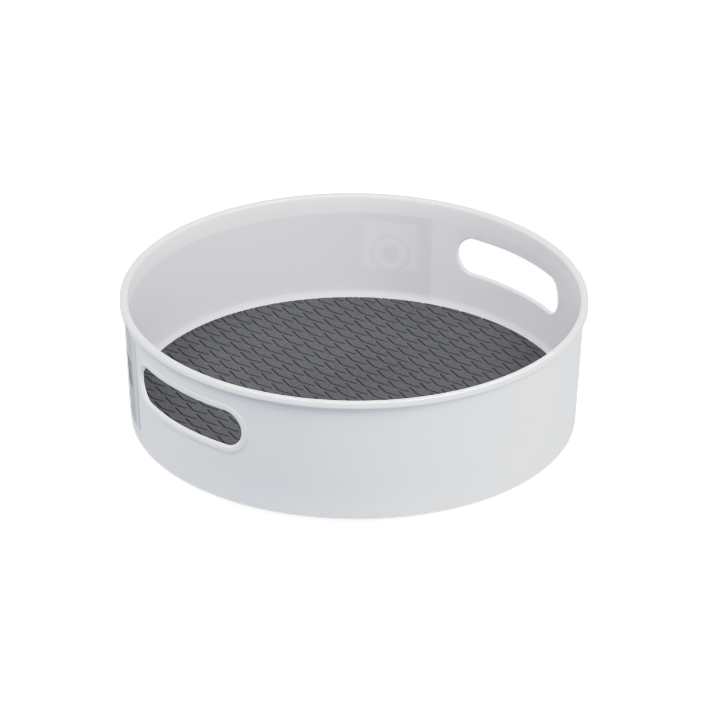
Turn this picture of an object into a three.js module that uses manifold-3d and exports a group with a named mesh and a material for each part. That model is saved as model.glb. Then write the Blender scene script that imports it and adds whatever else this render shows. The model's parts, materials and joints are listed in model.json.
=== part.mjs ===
// Lazy susan turntable bin: a round open bin with two hand slots and a ribbed rubber mat, which turns on a ring of
// steel balls above a fixed base plate. Millimetres, +Z up. The origin is on the surface that the feet stand on, on
// the turning axis, and the two hand slots face +X and -X.
import * as THREE from "three";
import { mergeVertices } from "three/addons/utils/BufferGeometryUtils.js";
import Module from "manifold-3d";

const wasm = await Module();
wasm.setup();

// ---------------------------------------------------------------------------------------------- driving dimensions
// Bin
const rimRadius = 150; // outside of the rolled rim
const overallHeight = 88.2; // table to rim
const skirtLift = 3; // table to the bin's lower edge
const wallThickness = 2.6;
const wallDraft = THREE.MathUtils.degToRad(2.6); // the wall leans outwards by this much
const rimOverhang = 2.4; // rim's step out from the wall
const rimDepth = 4.2;
const edgeRound = 0.8; // rim and skirt edges
const floorThickness = 2;
const floorFillet = 5; // between wall and floor, inside

// Hand slots
const slotWidth = 96.6; // straight across, from end to end
const slotHeight = 25.6;
const slotCorner = 12;
const slotDrop = 32.8; // rim's top to the slot's middle
const bezelWidth = 4.2; // raised border round each slot
const bezelProud = 1;

// Mat, which drops into a shallow recess in the floor
const matThickness = 1.6;
const matBorder = 1.05; // wall to the recess's edge at floor level
const matGap = 0.3; // all round the mat
const matBed = 0.1; // under the mat

// Sticker round the outside, between the two slots
const labelThickness = 0.4;
const labelGap = 0.2; // adhesive
const labelBelowRim = 7.5;
const labelAboveEdge = 9.7;
const labelStartGap = 16.6; // first slot's border to the sticker
const labelEndGap = 2.8; // sticker to the second slot's border

// Base plate
const footLift = 1.6; // table to the plate's underside
const plateThickness = 2;
const baseInset = 29.3; // skirt's inside to the plate's edge
const baseRimHeight = 5;
const baseRimWidth = 2;
const baseRibCount = 12;
const baseRibHeight = 2;
const ribWidth = 1.4;

// Feet, pressed into pockets under the plate
const footCount = 6;
const footRadius = 8;
const footPocketDepth = 1.1;
const footGap = 0.2;
const footPocketWall = 1.6;
const footPocketRoof = 1.9;
const footSpace = 1; // pocket wall to the plate's rim, and to the outer rail

// Ball bearing
const ballCount = 16;
const ballRadius = 3;
const raceGap = 0.12; // ball to groove, above and below
const raceRise = 0.3; // groove bottom above the plate
const raceLip = 0.5; // groove depth
const raceWidth = 7;
const raceGrooveExtra = 0.4; // groove radius over ball radius
const trayRaceDrop = 1.5; // groove roof below the bin's floor
const pocketGap = 0.3; // ball to cage
const cageWidth = 14;
const cageThickness = 1.8;
const cageWall = 1.3;
const cageGap = 0.5; // cage to its side rails
const cageFootGap = 0.3; // cage to the plate
const railWidth = 1.8;
const railHeight = 4;

// Pivot: a boss under the bin turns in the plate's hub, and a screw and washer keep the two together
const bossRadius = 9;
const hubGap = 0.4; // boss to hub bore, all round
const hubWall = 2;
const hubWebThickness = 2.5;
const hubWasherSpace = 2; // washer's edge to the wall of its recess
const washerRadius = 12.5;
const washerThickness = 1;
const washerHole = 2.3;
const washerPlay = 0.4; // the bin can lift this far off the plate
const pivotSeat = 0.1; // screw head to washer, and washer to boss
const screwRadius = 1.75;
const screwHoleGap = 0.25;
const screwLength = 6; // shank
const screwTip = 1.2;
const screwHeadRadius = 4;
const screwHeadHeight = 2.1;
const screwSlotWidth = 1;
const screwSlotLength = 4.6;
const screwSlotDepth = 1.2;
const screwHoleEnd = 0.8; // screw's tip to the bottom of its hole

// Ribs under the bin
const trayRibCount = 16;
const trayRibHeight = 2;

// Facets
const roundFacets = 60;
const hubFacets = 30;
const smallFacets = 16;
const arcSteps = 4; // steps in a fillet or a groove
const reach = 20; // how far a cutting body runs past what it cuts

// -------------------------------------------------------------------------------------------------- worked-out sizes
const plateTop = footLift + plateThickness;
const baseGrooveZ = plateTop + raceRise;
const ballZ = baseGrooveZ + raceGap + ballRadius;
const trayGrooveZ = ballZ + ballRadius + raceGap;
const floorUnder = trayGrooveZ + trayRaceDrop;
const floorTop = floorUnder + floorThickness;
const matTop = floorTop + matBed + matThickness;
const slotZ = overallHeight - slotDrop;
const rimUnder = overallHeight - rimDepth;

const wallRadius = (z) => rimRadius - rimOverhang - (overallHeight - z) * Math.tan(wallDraft);
const innerRadius = (z) => wallRadius(z) - wallThickness;

const matRecessRadius = innerRadius(floorTop) - matBorder;
const matRadius = matRecessRadius - matGap;

const baseRadius = innerRadius(floorUnder) - baseInset;
const footBossRadius = footRadius + footGap + footPocketWall;
const footPitchRadius = baseRadius - baseRimWidth - footSpace - footBossRadius;
const railOuterRadius = footPitchRadius - footBossRadius - footSpace;
const ballPitchRadius = railOuterRadius - railWidth - cageGap - cageWidth / 2;
const railInnerRadius = ballPitchRadius - cageWidth / 2 - cageGap - railWidth;

const hubBore = bossRadius + hubGap;
const hubRecess = washerRadius + hubWasherSpace;
const hubRadius = hubRecess + hubWall;
const screwHeadBottom = footLift / 2;
const washerBottom = screwHeadBottom + screwHeadHeight + pivotSeat;
const washerTop = washerBottom + washerThickness;
const bossBottom = washerTop + pivotSeat;
const webBottom = washerTop + washerPlay;
const webTop = webBottom + hubWebThickness;
const screwTop = washerBottom - pivotSeat + screwLength;

// ------------------------------------------------------------------------------------------------------ materials
const binPlastic = new THREE.MeshStandardMaterial({ color: 0xe6e8ec, roughness: 0.32, metalness: 0 });
const basePlastic = new THREE.MeshStandardMaterial({ color: 0xdfe1e5, roughness: 0.45, metalness: 0 });
const matRubber = new THREE.MeshStandardMaterial({ color: 0x5c5d61, roughness: 0.85, metalness: 0 });
const footRubber = new THREE.MeshStandardMaterial({ color: 0x3b3c3f, roughness: 0.8, metalness: 0 });
const cagePlastic = new THREE.MeshStandardMaterial({ color: 0xe9e6dc, roughness: 0.5, metalness: 0 });
const labelFilm = new THREE.MeshStandardMaterial({ color: 0xb4c2c2, roughness: 0.35, metalness: 0 });
const ballSteel = new THREE.MeshStandardMaterial({ color: 0xc9cbce, roughness: 0.15, metalness: 1 });
const zincSteel = new THREE.MeshStandardMaterial({ color: 0xb9bcc0, roughness: 0.35, metalness: 1 });

// -------------------------------------------------------------------------------------------------- solid helpers
// A closed geometry as a manifold solid.
function solidOf(geometry) {
  const bare = new THREE.BufferGeometry().setAttribute("position", geometry.getAttribute("position"));
  if (geometry.index) bare.setIndex(geometry.index);
  const merged = mergeVertices(bare, 1e-3);
  const mesh = new wasm.Mesh({
    numProp: 3,
    vertProperties: new Float32Array(merged.attributes.position.array),
    triVerts: new Uint32Array(merged.index.array),
  });
  return new wasm.Manifold(mesh);
}

// A manifold solid as a geometry.
function geometryOf(solid) {
  const { vertProperties, triVerts } = solid.getMesh();
  return new THREE.BufferGeometry()
    .setAttribute("position", new THREE.BufferAttribute(new Float32Array(vertProperties), 3))
    .setIndex(new THREE.BufferAttribute(new Uint32Array(triVerts), 1));
}

// The profile, a list of [radius, z], turned round the Z axis.
function turned(profile, facets) {
  const points = profile.map(([radius, z]) => new THREE.Vector2(Math.max(radius, 0), z));
  return new THREE.LatheGeometry(points, facets).rotateX(Math.PI / 2);
}

// Points of an arc about [radius, z], both ends included. Angles are in quarter turns, from +radius towards +z.
function arc(radius, z, size, from, to, steps = arcSteps) {
  return Array.from({ length: steps + 1 }, (_, i) => {
    const angle = ((from + ((to - from) * i) / steps) * Math.PI) / 2;
    return [radius + size * Math.cos(angle), z + size * Math.sin(angle)];
  });
}

// An upright bar of the given length that starts at radius start, turned to an angle about Z.
function radialRib(start, length, width, bottom, height, angle) {
  return new THREE.BoxGeometry(length, width, height)
    .translate(start + length / 2, 0, bottom + height / 2)
    .rotateZ(angle);
}

// An upright cylinder standing at the given radius and angle about Z.
function post(pitch, angle, radius, bottom, top, facets = smallFacets) {
  return new THREE.CylinderGeometry(radius, radius, top - bottom, facets)
    .rotateX(Math.PI / 2)
    .translate(pitch, 0, (bottom + top) / 2)
    .rotateZ(angle);
}

// A rounded bar along X through the wall on the +X side, with the slot's outline grown by margin all round.
function slotBar(margin) {
  const halfWidth = slotWidth / 2 + margin;
  const halfHeight = slotHeight / 2 + margin;
  const corner = Math.min(slotCorner + margin, halfHeight, halfWidth);
  const outline = new THREE.Shape();
  outline.absarc(halfWidth - corner, halfHeight - corner, corner, 0, Math.PI / 2);
  outline.absarc(corner - halfWidth, halfHeight - corner, corner, Math.PI / 2, Math.PI);
  outline.absarc(corner - halfWidth, corner - halfHeight, corner, Math.PI, 1.5 * Math.PI);
  outline.absarc(halfWidth - corner, corner - halfHeight, corner, 1.5 * Math.PI, 2 * Math.PI);
  const depth = rimRadius - wallRadius(0) + wallThickness + 2 * reach;
  return new THREE.ExtrudeGeometry(outline, { depth, bevelEnabled: false, curveSegments: arcSteps + 1 })
    .rotateX(Math.PI / 2)
    .rotateZ(Math.PI / 2)
    .translate(wallRadius(0) - wallThickness - reach, 0, slotZ);
}

const halfTurn = (geometry) => geometry.clone().rotateZ(Math.PI);
const evenly = (count) => Array.from({ length: count }, (_, i) => (i * 2 * Math.PI) / count);

// A shell that follows the outside of the wall, between two offsets from it.
function wallShell(inside, outside, bottom, top) {
  return turned(
    [
      [wallRadius(bottom) + inside, bottom],
      [wallRadius(bottom) + outside, bottom],
      [wallRadius(top) + outside, top],
      [wallRadius(top) + inside, top],
      [wallRadius(bottom) + inside, bottom],
    ],
    roundFacets,
  );
}

// ------------------------------------------------------------------------------------------------------------ bin
// A ball groove in cross-section, from the inside outwards. side is 1 where it opens upwards and -1 downwards.
function groove(bottomZ, side) {
  const size = ballRadius + raceGrooveExtra;
  const halfOpening = Math.acos((size - raceLip) / size) / (Math.PI / 2);
  return side > 0
    ? arc(ballPitchRadius, bottomZ + size, size, -1 - halfOpening, -1 + halfOpening)
    : arc(ballPitchRadius, bottomZ - size, size, 1 + halfOpening, 1 - halfOpening);
}

function binProfile() {
  const raceIn = ballPitchRadius - raceWidth / 2;
  const raceOut = ballPitchRadius + raceWidth / 2;
  const screwHole = screwRadius + screwHoleGap;
  const filletZ = floorTop + floorFillet;
  const filletR = innerRadius(filletZ) - floorFillet;
  const filletFrom = -Math.acos(Math.min(1, (matRecessRadius - filletR) / floorFillet)) / (Math.PI / 2);
  return [
    [0, screwTop + screwHoleEnd],
    [screwHole, screwTop + screwHoleEnd],
    [screwHole, bossBottom],
    [bossRadius, bossBottom],
    [bossRadius, floorUnder],
    [raceIn, floorUnder],
    [raceIn, trayGrooveZ - raceLip],
    ...groove(trayGrooveZ, -1),
    [raceOut, trayGrooveZ - raceLip],
    [raceOut, floorUnder],
    [innerRadius(floorUnder), floorUnder],
    [innerRadius(skirtLift), skirtLift],
    [wallRadius(skirtLift) - edgeRound, skirtLift],
    [wallRadius(skirtLift + edgeRound), skirtLift + edgeRound],
    [wallRadius(rimUnder), rimUnder],
    [rimRadius - edgeRound / 2, rimUnder],
    [rimRadius, rimUnder + edgeRound / 2],
    ...arc(rimRadius - edgeRound, overallHeight - edgeRound, edgeRound, 0, 1, 3),
    [innerRadius(overallHeight), overallHeight],
    ...arc(filletR, filletZ, floorFillet, 0, filletFrom),
    [matRecessRadius, floorTop],
    [0, floorTop],
  ];
}

function binRibs() {
  const bottom = floorUnder - trayRibHeight;
  const height = trayRibHeight + floorThickness / 2; // the root is buried in the floor
  const inner = bossRadius - ribWidth;
  const innerLength = ballPitchRadius - raceWidth / 2 - inner + ribWidth;
  const outer = ballPitchRadius + raceWidth / 2 - ribWidth;
  const outerLength = innerRadius(bottom) + wallThickness / 2 - outer;
  return evenly(trayRibCount).flatMap((angle, i) => [
    ...(i % 2 ? [] : [radialRib(inner, innerLength, ribWidth, bottom, height, angle)]),
    radialRib(outer, outerLength, ribWidth, bottom, height, angle),
  ]);
}

function bin() {
  const border = solidOf(wallShell(-wallThickness / 2, bezelProud, slotZ - slotHeight, slotZ + slotHeight));
  let solid = solidOf(turned(binProfile(), roundFacets));
  for (const rib of binRibs()) solid = solid.add(solidOf(rib));
  for (const turn of [(g) => g, halfTurn]) {
    solid = solid.add(border.intersect(solidOf(turn(slotBar(bezelWidth)))));
    solid = solid.subtract(solidOf(turn(slotBar(0))));
  }
  return geometryOf(solid);
}

// ---------------------------------------------------------------------------------------------- mat and sticker
function mat() {
  const bottom = floorTop + matBed;
  return turned(
    [
      [0, bottom],
      [matRadius, bottom],
      [matRadius, matTop],
      [0, matTop],
    ],
    roundFacets,
  );
}

function label() {
  const middle = wallRadius(slotZ - slotHeight / 2);
  const borderAngle = Math.asin((slotWidth / 2 + bezelWidth) / middle);
  const from = borderAngle + labelStartGap / middle;
  const to = Math.PI - borderAngle - labelEndGap / middle;
  const bottom = skirtLift + labelAboveEdge;
  const top = rimUnder - labelBelowRim;
  const wedge = new THREE.Shape().absarc(0, 0, rimRadius + reach, from, to).lineTo(0, 0);
  const sector = new THREE.ExtrudeGeometry(wedge, {
    depth: overallHeight,
    bevelEnabled: false,
    curveSegments: smallFacets,
  });
  return geometryOf(
    solidOf(wallShell(labelGap, labelGap + labelThickness, bottom, top)).intersect(solidOf(sector)),
  );
}

// ---------------------------------------------------------------------------------------------------- base plate
function baseProfile() {
  const railTop = plateTop + railHeight;
  const raceIn = ballPitchRadius - raceWidth / 2;
  const raceOut = ballPitchRadius + raceWidth / 2;
  return [
    [hubBore, webBottom],
    [hubRecess, webBottom],
    [hubRecess, footLift],
    [baseRadius - edgeRound, footLift],
    [baseRadius, footLift + edgeRound],
    [baseRadius, footLift + baseRimHeight],
    [baseRadius - baseRimWidth, footLift + baseRimHeight],
    [baseRadius - baseRimWidth, plateTop],
    [railOuterRadius, plateTop],
    [railOuterRadius, railTop],
    [railOuterRadius - railWidth, railTop],
    [railOuterRadius - railWidth, plateTop],
    [raceOut, plateTop],
    [raceOut, baseGrooveZ + raceLip],
    ...groove(baseGrooveZ, 1).reverse(),
    [raceIn, baseGrooveZ + raceLip],
    [raceIn, plateTop],
    [railInnerRadius + railWidth, plateTop],
    [railInnerRadius + railWidth, railTop],
    [railInnerRadius, railTop],
    [railInnerRadius, plateTop],
    [hubRadius, plateTop],
    [hubRadius, webTop],
    [hubBore, webTop],
    [hubBore, webBottom],
  ];
}

function basePlate() {
  const start = hubRadius - hubWall / 2;
  const length = railInnerRadius + railWidth / 2 - start;
  const pocketTop = footLift + footPocketDepth;
  const bossTop = pocketTop + footPocketRoof;
  let solid = solidOf(turned(baseProfile(), roundFacets));
  for (const angle of evenly(baseRibCount)) {
    const rib = radialRib(start, length, ribWidth, plateTop - 1, baseRibHeight + 1, angle);
    solid = solid.add(solidOf(rib));
  }
  for (const angle of evenly(footCount)) {
    const boss = post(footPitchRadius, angle, footBossRadius, footLift, bossTop);
    const pocket = post(footPitchRadius, angle, footRadius + footGap, -reach, pocketTop);
    solid = solid.add(solidOf(boss)).subtract(solidOf(pocket));
  }
  return geometryOf(solid);
}

// A round pad with a softened lower edge.
function foot() {
  const top = footLift + footPocketDepth - footGap;
  return turned(
    [
      [0, 0],
      [footRadius - edgeRound, 0],
      [footRadius, edgeRound],
      [footRadius, top],
      [0, top],
    ],
    smallFacets,
  );
}

// -------------------------------------------------------------------------------------------------------- bearing
// A ring of inverted U section, with a round pocket for each ball.
function ballCage() {
  const inner = ballPitchRadius - cageWidth / 2;
  const outer = ballPitchRadius + cageWidth / 2;
  const bottom = plateTop + cageFootGap;
  const roof = ballZ + cageThickness / 2;
  const underRoof = ballZ - cageThickness / 2;
  let solid = solidOf(
    turned(
      [
        [inner, bottom],
        [inner + cageWall, bottom],
        [inner + cageWall, underRoof],
        [outer - cageWall, underRoof],
        [outer - cageWall, bottom],
        [outer, bottom],
        [outer, roof],
        [inner, roof],
        [inner, bottom],
      ],
      roundFacets,
    ),
  );
  for (const angle of evenly(ballCount)) {
    const pocket = post(ballPitchRadius, angle, ballRadius + pocketGap, underRoof - 1, roof + 1);
    solid = solid.subtract(solidOf(pocket));
  }
  return geometryOf(solid);
}

const ball = () => new THREE.SphereGeometry(ballRadius, 10, 8).rotateX(Math.PI / 2);

// ---------------------------------------------------------------------------------------------------------- pivot
function pivotWasher() {
  return turned(
    [
      [washerHole, washerBottom],
      [washerRadius, washerBottom],
      [washerRadius, washerTop],
      [washerHole, washerTop],
      [washerHole, washerBottom],
    ],
    hubFacets,
  );
}

// Pan head down, with a cross recess, and a pointed shank up into the boss.
function pivotScrew() {
  const headTop = screwHeadBottom + screwHeadHeight;
  const crown = screwHeadHeight / 2;
  let solid = solidOf(
    turned(
      [
        [0, screwHeadBottom],
        ...arc(screwHeadRadius - crown, screwHeadBottom + crown, crown, -1, 0),
        [screwHeadRadius, headTop],
        [screwRadius, headTop],
        [screwRadius, screwTop - screwTip],
        [0, screwTop],
      ],
      smallFacets,
    ),
  );
  for (const angle of [0, Math.PI / 2]) {
    const slot = new THREE.BoxGeometry(screwSlotLength, screwSlotWidth, 2 * screwSlotDepth)
      .rotateZ(angle)
      .translate(0, 0, screwHeadBottom);
    solid = solid.subtract(solidOf(slot));
  }
  return geometryOf(solid);
}

// ------------------------------------------------------------------------------------------------------- assembly
const turntable = new THREE.Group();

function place(name, geometry, material, x = 0, y = 0, z = 0) {
  const mesh = new THREE.Mesh(geometry, material);
  mesh.name = name;
  mesh.position.set(x, y, z);
  turntable.add(mesh);
}

const numbered = (name, i) => `${name}_${String(i + 1).padStart(2, "0")}`;

place("tray_bin", bin(), binPlastic);
place("nonslip_mat", mat(), matRubber);
place("outer_label", label(), labelFilm);
place("pivot_screw", pivotScrew(), zincSteel);
place("pivot_washer", pivotWasher(), zincSteel);
place("base_plate", basePlate(), basePlastic);
place("ball_cage", ballCage(), cagePlastic);
evenly(footCount).forEach((angle, i) => {
  const [x, y] = [footPitchRadius * Math.cos(angle), footPitchRadius * Math.sin(angle)];
  place(numbered("foot_pad", i), foot(), footRubber, x, y);
});
evenly(ballCount).forEach((angle, i) => {
  const [x, y] = [ballPitchRadius * Math.cos(angle), ballPitchRadius * Math.sin(angle)];
  place(numbered("bearing_ball", i), ball(), ballSteel, x, y, ballZ);
});

export default turntable;
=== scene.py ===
import json
from math import acos, cos, degrees, pi, radians, sin, tan
import bmesh
import bpy
from mathutils import Euler, Matrix, Vector

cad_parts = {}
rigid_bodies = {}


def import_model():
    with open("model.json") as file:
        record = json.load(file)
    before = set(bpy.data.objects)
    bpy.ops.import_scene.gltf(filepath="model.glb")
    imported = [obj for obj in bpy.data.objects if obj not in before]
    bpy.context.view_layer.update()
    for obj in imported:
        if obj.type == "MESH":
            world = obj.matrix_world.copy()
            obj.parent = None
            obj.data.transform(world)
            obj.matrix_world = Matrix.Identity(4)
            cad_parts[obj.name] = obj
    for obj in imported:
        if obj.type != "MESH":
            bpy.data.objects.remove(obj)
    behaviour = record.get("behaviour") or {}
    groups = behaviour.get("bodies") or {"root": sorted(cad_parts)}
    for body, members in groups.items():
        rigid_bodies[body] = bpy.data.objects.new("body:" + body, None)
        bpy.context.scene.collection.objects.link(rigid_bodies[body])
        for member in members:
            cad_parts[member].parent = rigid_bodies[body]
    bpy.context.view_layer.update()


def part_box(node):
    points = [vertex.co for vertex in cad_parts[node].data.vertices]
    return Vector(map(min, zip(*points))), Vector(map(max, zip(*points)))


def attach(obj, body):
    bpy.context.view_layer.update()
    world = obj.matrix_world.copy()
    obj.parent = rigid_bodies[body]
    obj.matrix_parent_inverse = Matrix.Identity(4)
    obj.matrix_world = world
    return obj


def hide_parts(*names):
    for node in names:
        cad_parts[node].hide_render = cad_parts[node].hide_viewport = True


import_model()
print("frame loaded")

mm = 0.001
touch = 1e-6    # closer than this is the same place

# The camera stands out to the -X and -Y side, where one hand slot is near and the other far
cameraSpot = {
    "azimuth": radians(-132.1),
    "elevation": radians(27.53),
    "distance": 3.2729,
    "aimHeight": 0.035,
    "roll": 0.00755,
    "lens": 253.3,
    "shift": (0.0089, 0.0100),
    "clip": (0.1, 50),
}


def wayOut(azimuth, elevation, distance):  # from the middle, turned about Z from +X and then raised
    flat = distance * cos(elevation)
    return Vector((flat * cos(azimuth), flat * sin(azimuth), distance * sin(elevation)))


def addCamera(spot):
    camera = bpy.data.objects.new("camera", bpy.data.cameras.new("camera"))
    bpy.context.collection.objects.link(camera)
    away = wayOut(spot["azimuth"], spot["elevation"], spot["distance"])
    camera.location = Vector((0, 0, spot["aimHeight"])) + away
    turn = (-away).to_track_quat("-Z", "Y").to_matrix() @ Matrix.Rotation(spot["roll"], 3, "Z")
    camera.rotation_euler = turn.to_euler()
    camera.data.lens = spot["lens"]
    camera.data.shift_x, camera.data.shift_y = spot["shift"]
    camera.data.clip_start, camera.data.clip_end = spot["clip"]
    bpy.context.scene.camera = camera


addCamera(cameraSpot)

# Small helpers for modelling by hand


def clearSelection():
    if bpy.context.mode != "OBJECT":
        bpy.ops.object.mode_set(mode="OBJECT")
    bpy.ops.object.select_all(action="DESELECT")


def activate(piece, *others):
    clearSelection()
    for other in (piece, *others):
        other.select_set(True)
    bpy.context.view_layer.objects.active = piece


def editMode(piece):
    activate(piece)
    bpy.ops.object.mode_set(mode="EDIT")


def objectMode():
    bpy.ops.object.mode_set(mode="OBJECT")


def selectAll():
    bpy.ops.mesh.select_all(action="SELECT")


def startFrom(primitive, name, **settings):  # a new primitive, left in edit mode with all of it selected
    clearSelection()
    primitive(enter_editmode=False, align="WORLD", **settings)
    piece = bpy.context.object
    piece.name = piece.data.name = name
    bpy.ops.object.transform_apply(location=True, rotation=True, scale=True)
    editMode(piece)
    selectAll()
    return piece


def select(kind, test):  # kind is VERT, EDGE or FACE, and test takes the middle of one and the element itself
    bpy.ops.mesh.select_mode(type=kind)
    bpy.ops.mesh.select_all(action="DESELECT")
    mesh = bmesh.from_edit_mesh(bpy.context.object.data)
    if kind == "VERT":
        found = [v for v in mesh.verts if test(v.co, v)]
    elif kind == "EDGE":
        found = [e for e in mesh.edges if test((e.verts[0].co + e.verts[1].co) / 2, e)]
    else:
        found = [f for f in mesh.faces if test(f.calc_center_median(), f)]
    for element in found:
        element.select = True
    mesh.select_flush_mode()
    bmesh.update_edit_mesh(bpy.context.object.data)


def move(x=0, y=0, z=0):
    bpy.ops.transform.translate(value=(x, y, z))


def stretch(x=1, y=1, z=1, about=(0, 0, 0)):
    bpy.ops.transform.resize(value=(x, y, z), center_override=about)


def place(piece, turn=(0, 0, 0), spot=(0, 0, 0)):  # moves a piece, then puts that move into its mesh
    activate(piece)
    piece.rotation_euler = Euler(turn)
    piece.location = Vector(spot)
    bpy.ops.object.transform_apply(location=True, rotation=True, scale=True)


def applyModifier(piece, kind, **settings):
    activate(piece)
    modifier = piece.modifiers.new(kind.lower(), kind)
    for key, value in settings.items():
        setattr(modifier, key, value)
    bpy.ops.object.modifier_apply(modifier=modifier.name)


def joinInto(piece, *others):
    activate(piece, *others)
    bpy.ops.object.join()


def copyOf(piece, name):
    clearSelection()
    twin = piece.copy()
    twin.data = piece.data.copy()
    twin.name = twin.data.name = name
    bpy.context.collection.objects.link(twin)
    return twin


def discard(*pieces):
    for piece in pieces:
        bpy.data.objects.remove(piece, do_unlink=True)


def weld(piece, gap=1e-5, outward=True):
    editMode(piece)
    bpy.ops.mesh.select_mode(type="VERT")
    selectAll()
    bpy.ops.mesh.remove_doubles(threshold=gap)
    if outward:
        bpy.ops.mesh.normals_make_consistent(inside=False)
    objectMode()


def cutWith(piece, tool, operation="DIFFERENCE"):
    applyModifier(piece, "BOOLEAN", operation=operation, solver="EXACT", object=tool)
    discard(tool)


def smooth(piece, angle=35):
    activate(piece)
    bpy.ops.object.shade_smooth_by_angle(angle=radians(angle))
    applyModifier(piece, "WEIGHTED_NORMAL", keep_sharp=True, weight=80)


def arc(radius, height, size, start, end, steps=5):  # points round (radius, height), angles in degrees
    angles = [radians(start + (end - start) * i / steps) for i in range(steps + 1)]
    return [(radius + size * cos(a), height + size * sin(a)) for a in angles]


# An outline of (radius, height) points is drawn by extruding one vertex, and spun round the turning axis
def lathe(name, outline, segments, closed=False):
    piece = startFrom(bpy.ops.mesh.primitive_plane_add, name, size=mm)
    bpy.ops.mesh.merge(type="CENTER")
    selectAll()
    radius, height = outline[0]
    move(radius, 0, height)
    for nextRadius, nextHeight in outline[1:]:
        step = (nextRadius - radius, 0, nextHeight - height)
        bpy.ops.mesh.extrude_region_move(TRANSFORM_OT_translate={"value": step})
        radius, height = nextRadius, nextHeight
    selectAll()
    if closed:
        ends = [Vector((r, 0, z)) for r, z in (outline[0], outline[-1])]
        select("VERT", lambda spot, _: min((spot - end).length for end in ends) < touch)
        bpy.ops.mesh.edge_face_add()
        selectAll()
    bpy.ops.mesh.spin(steps=segments, angle=2 * pi, center=(0, 0, 0), axis=(0, 0, 1))
    weld(piece)
    return piece


# Corners of (radius, height, round) become the points of an outline with rounded corners
def softCorners(corners, steps=3):
    outline = []
    for i, (radius, height, size) in enumerate(corners):
        if size == 0:
            outline.append((radius, height))
            continue
        corner = Vector((radius, height))
        before = (Vector(corners[i - 1][:2]) - corner).normalized()
        after = (Vector(corners[(i + 1) % len(corners)][:2]) - corner).normalized()
        half = before.angle(after) / 2
        middle = corner + (before + after).normalized() * size / sin(half)
        start = (corner + before * size / tan(half) - middle).normalized()
        end = (corner + after * size / tan(half) - middle).normalized()
        outline += [tuple(middle + size * start.slerp(end, j / steps)) for j in range(steps + 1)]
    return outline


def ringOf(name, corners, segments):  # a turned ring, whose outline closes on itself
    return lathe(name, softCorners(corners), segments, closed=True)


def middleOf(node):
    low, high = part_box(node)
    return (low + high) / 2


# The piece and its copies, numbered like the CAD nodes and moved out to their places, or up to them as well
def oneAtEach(piece, name, node, count, lifted=False):
    pieces = [piece] + [copyOf(piece, f"{name}_{i:02d}") for i in range(2, count + 1)]
    for i, other in enumerate(pieces, 1):
        middle = middleOf(f"{node}_{i:02d}")
        place(other, spot=(middle.x, middle.y, middle.z if lifted else 0))
    return pieces


print("helpers ready")

# The bin that turns

trayLow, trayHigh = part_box("tray_bin")
matLow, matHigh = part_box("nonslip_mat")
ballLow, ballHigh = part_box("bearing_ball_01")

binShape = {
    "rimRadius": trayHigh.x,
    "top": trayHigh.z,
    "skirt": trayLow.z,
    "wall": 2.2 * mm,
    "draft": radians(2.6),
    "rimStep": 2.4 * mm,
    "rimDepth": 4.2 * mm,
    "rimRound": 1.5 * mm,
    "lipRound": 0.6 * mm,
    "rimFillet": 0.4 * mm,
    "innerRound": 1.9 * mm,
    "skirtRound": 0.8 * mm,
    "floorTop": matLow.z - 0.1 * mm,
    "floor": 2 * mm,
    "fillet": 18 * mm,
    "filletRise": 6.8 * mm,     # its middle, above the mat
    "filletTrim": (8, 3),       # degrees left off its upper and lower ends
    "recess": matHigh.x + 0.3 * mm,
    "ribs": 16,
    "ribWidth": 1.4 * mm,
    "ribHeight": 2 * mm,
}
slotShape = {
    "middle": trayHigh.z - 32.8 * mm,
    "length": 99.2 * mm,
    "height": 25.6 * mm,
    "borderWidth": 4.2 * mm,
    "borderProud": 0.62 * mm,
    "borderFoot": 0.34 * mm,
    "outerRound": 1.5 * mm,
    "innerRound": 1.2 * mm,
    "straight": 0.1 * mm,
    "roundVerts": 36,     # round the two ends together
    "straightCuts": 7,    # in each half of the top and bottom
}
bearing = {
    "pitch": (ballLow.x + ballHigh.x) / 2,
    "ballHeight": (ballLow.z + ballHigh.z) / 2,
    "ballRadius": (ballHigh.z - ballLow.z) / 2,
    "play": 0.12 * mm,
    "grooveRadius": 3.4 * mm,
    "raceWidth": 7 * mm,
    "raceLip": 0.5 * mm,
}
pivot = {
    "bossRadius": 9 * mm,
    "bossEnd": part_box("pivot_washer")[1].z + 0.1 * mm,
    "screwHole": 2 * mm,
    "holeTop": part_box("pivot_screw")[1].z + 0.8 * mm,
}
wallSides = 192    # facets round the bin


def wallAt(height):
    return binShape["rimRadius"] - binShape["rimStep"] - (binShape["top"] - height) * tan(binShape["draft"])


def insideAt(height):
    return wallAt(height) - binShape["wall"] / cos(binShape["draft"])


bendRadius = wallAt(slotShape["middle"])
wallGrid = {
    "columns": wallSides // 2,
    "columnWidth": 2 * pi * bendRadius / wallSides,
    "rowHeight": 5 * mm,
    "rowsUp": 5,
    "rowsDown": 7,
    "patchColumns": 24,
    "patchRows": 8,
}
patchWidth = wallGrid["patchColumns"] * wallGrid["columnWidth"]
patchHeight = wallGrid["patchRows"] * wallGrid["rowHeight"]


def inPatch(spot, near=1.0):  # where the flat wall is left open for the slot's own faces
    return abs(spot.x) < patchWidth / 2 * near and abs(spot.z) < patchHeight / 2 * near


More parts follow.
